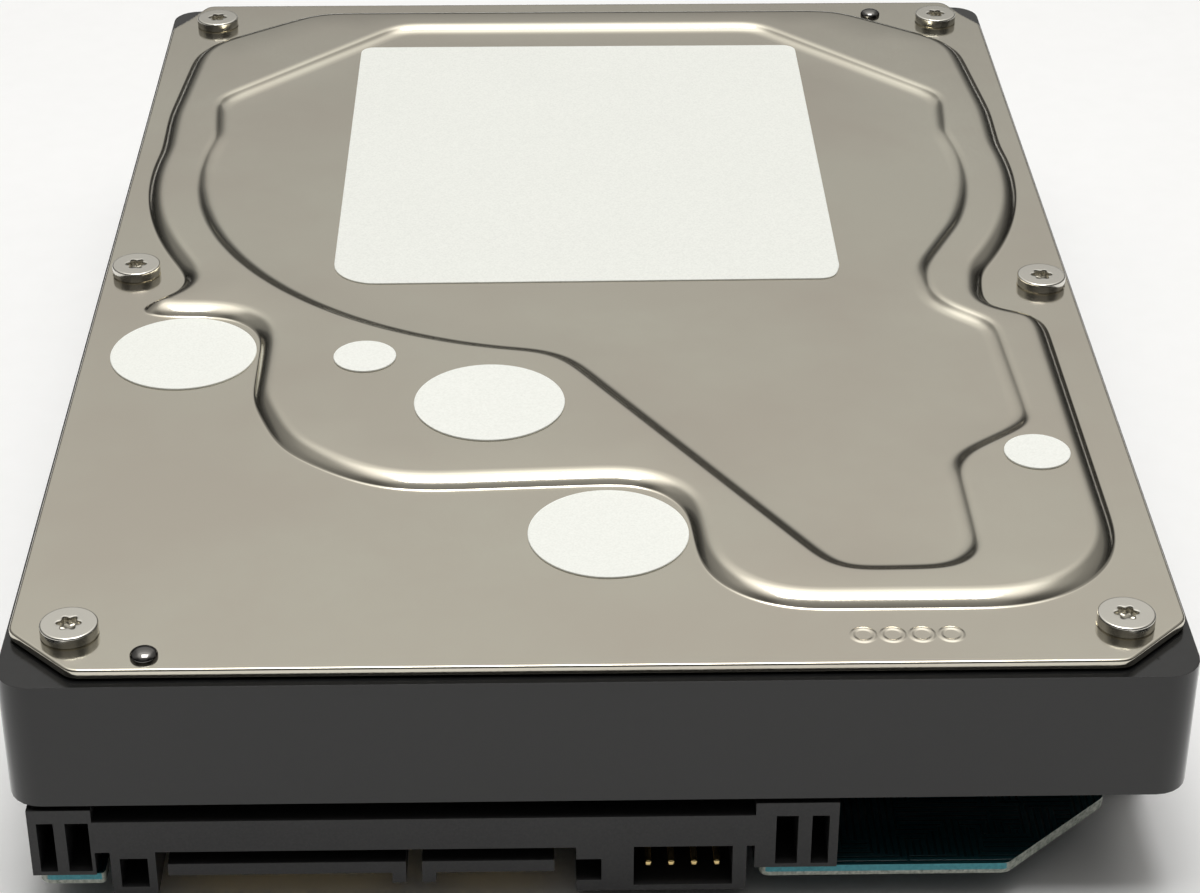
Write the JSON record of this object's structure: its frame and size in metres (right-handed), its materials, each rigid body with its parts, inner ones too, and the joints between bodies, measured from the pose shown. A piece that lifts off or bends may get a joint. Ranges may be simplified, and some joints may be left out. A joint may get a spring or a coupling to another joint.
{
  "type": "hard disk drive",
  "caption": "Flat sealed rectangular disk drive with a pressed metal cover, cast base, data and power plug at one end, spinning platters and a swinging head arm inside.",
  "frame": {"origin": "centre of the mounting face, the plane the side rails rest on", "axes": "+Y from the plug end to the back end, +Z from the mounting face to the cover, +X to the right seen from the plug end"},
  "size_m": [0.1016, 0.147, 0.0261],
  "materials": {
    "casting_paint": "semi-gloss black coating on die-cast aluminium",
    "cover_plate": "satin nickel-like plate with a faint grain",
    "gasket_rubber": "black pressed elastomer",
    "screw_steel": "bright plated steel",
    "label_paper": "matt off-white film label, blank",
    "seal_film": "white adhesive film",
    "plug_plastic": "moulded black nylon",
    "contact_gold": "gold flash on copper alloy",
    "board_laminate": "blue-green solder mask on glass laminate",
    "chip_epoxy": "black moulding compound",
    "ceramic_tan": "small tan ceramic parts with tinned ends",
    "socket_plastic": "cream moulded plastic",
    "board_foam": "soft grey foam",
    "machined_aluminium": "machined aluminium",
    "bearing_bronze": "sintered bronze",
    "ground_steel": "ground steel",
    "lamination_steel": "stacked laminations",
    "copper_wire": "enamelled copper winding",
    "magnet_nickel": "nickel-plated magnet",
    "platter_mirror": "polished disk",
    "spring_steel": "thin stainless sheet",
    "slider_ceramic": "dark ceramic",
    "flex_film": "amber polyimide with copper lines",
    "ramp_plastic": "natural acetal",
    "filter_cloth": "white non-woven"
  },
  "bodies": {
    "drive_body": {"base_casting": "casting_paint", "top_cover": "cover_plate", "cover_gasket": "gasket_rubber", "cover_screws": "screw_steel", "cover_dowel_pins": "screw_steel", "main_label": "label_paper", "large_port_seals": "seal_film", "small_port_seals": "seal_film", "plug_housing": "plug_plastic", "power_contacts": "contact_gold", "signal_contacts": "contact_gold", "jumper_pins": "contact_gold", "circuit_board": "board_laminate", "board_screws": "screw_steel", "controller_chip": "chip_epoxy", "cache_chip": "chip_epoxy", "motor_driver_chip": "chip_epoxy", "board_capacitors": "ceramic_tan", "motor_connector": "socket_plastic", "head_connector": "chip_epoxy", "board_foam": "board_foam", "motor_bracket": "machined_aluminium", "bracket_screws": "screw_steel", "stator_core": "lamination_steel", "stator_coils": "copper_wire", "bearing_sleeve": "bearing_bronze", "pivot_post": "ground_steel", "flex_bracket": "chip_epoxy", "flex_ribbon": "flex_film", "lower_yoke": "magnet_nickel", "upper_yoke": "magnet_nickel", "lower_magnets": "magnet_nickel", "upper_magnets": "magnet_nickel", "yoke_posts": "ground_steel", "crash_stops": "gasket_rubber", "parking_ramp": "ramp_plastic", "latch_pin": "ground_steel", "air_filter": "filter_cloth", "desiccant_pack": "filter_cloth"},
    "disk_pack": {"spindle_shaft": "ground_steel", "rotor_hub": "machined_aluminium", "rotor_magnet": "magnet_nickel", "platter_lower": "platter_mirror", "platter_middle": "platter_mirror", "platter_upper": "platter_mirror", "disk_spacers": "machined_aluminium", "disk_clamp": "machined_aluminium", "clamp_screws": "screw_steel"},
    "actuator": {"pivot_bearings": "ground_steel", "pivot_sleeve": "ground_steel", "arm_block": "machined_aluminium", "voice_coil": "copper_wire", "suspensions": "spring_steel", "sliders": "slider_ceramic", "preamp_chip": "chip_epoxy"},
    "latch": {"latch_lever": "plug_plastic"}
  },
  "joints": [
    {"name": "spindle_spin", "type": "hinge", "parent": "drive_body", "child": "disk_pack", "pos_m": [0, 0.0225, 0.012], "axis": [0, 0, 1], "continuous": true},
    {"name": "actuator_swing", "type": "hinge", "parent": "drive_body", "child": "actuator", "pos_m": [0.0185, -0.032, 0.016], "axis": [0, 0, -1], "range_deg": [0, 34]},
    {"name": "latch_swing", "type": "hinge", "parent": "drive_body", "child": "latch", "pos_m": [0.0392, -0.0204, 0.018], "axis": [0, 0, -1], "range_deg": [0, 14]}
  ]
}
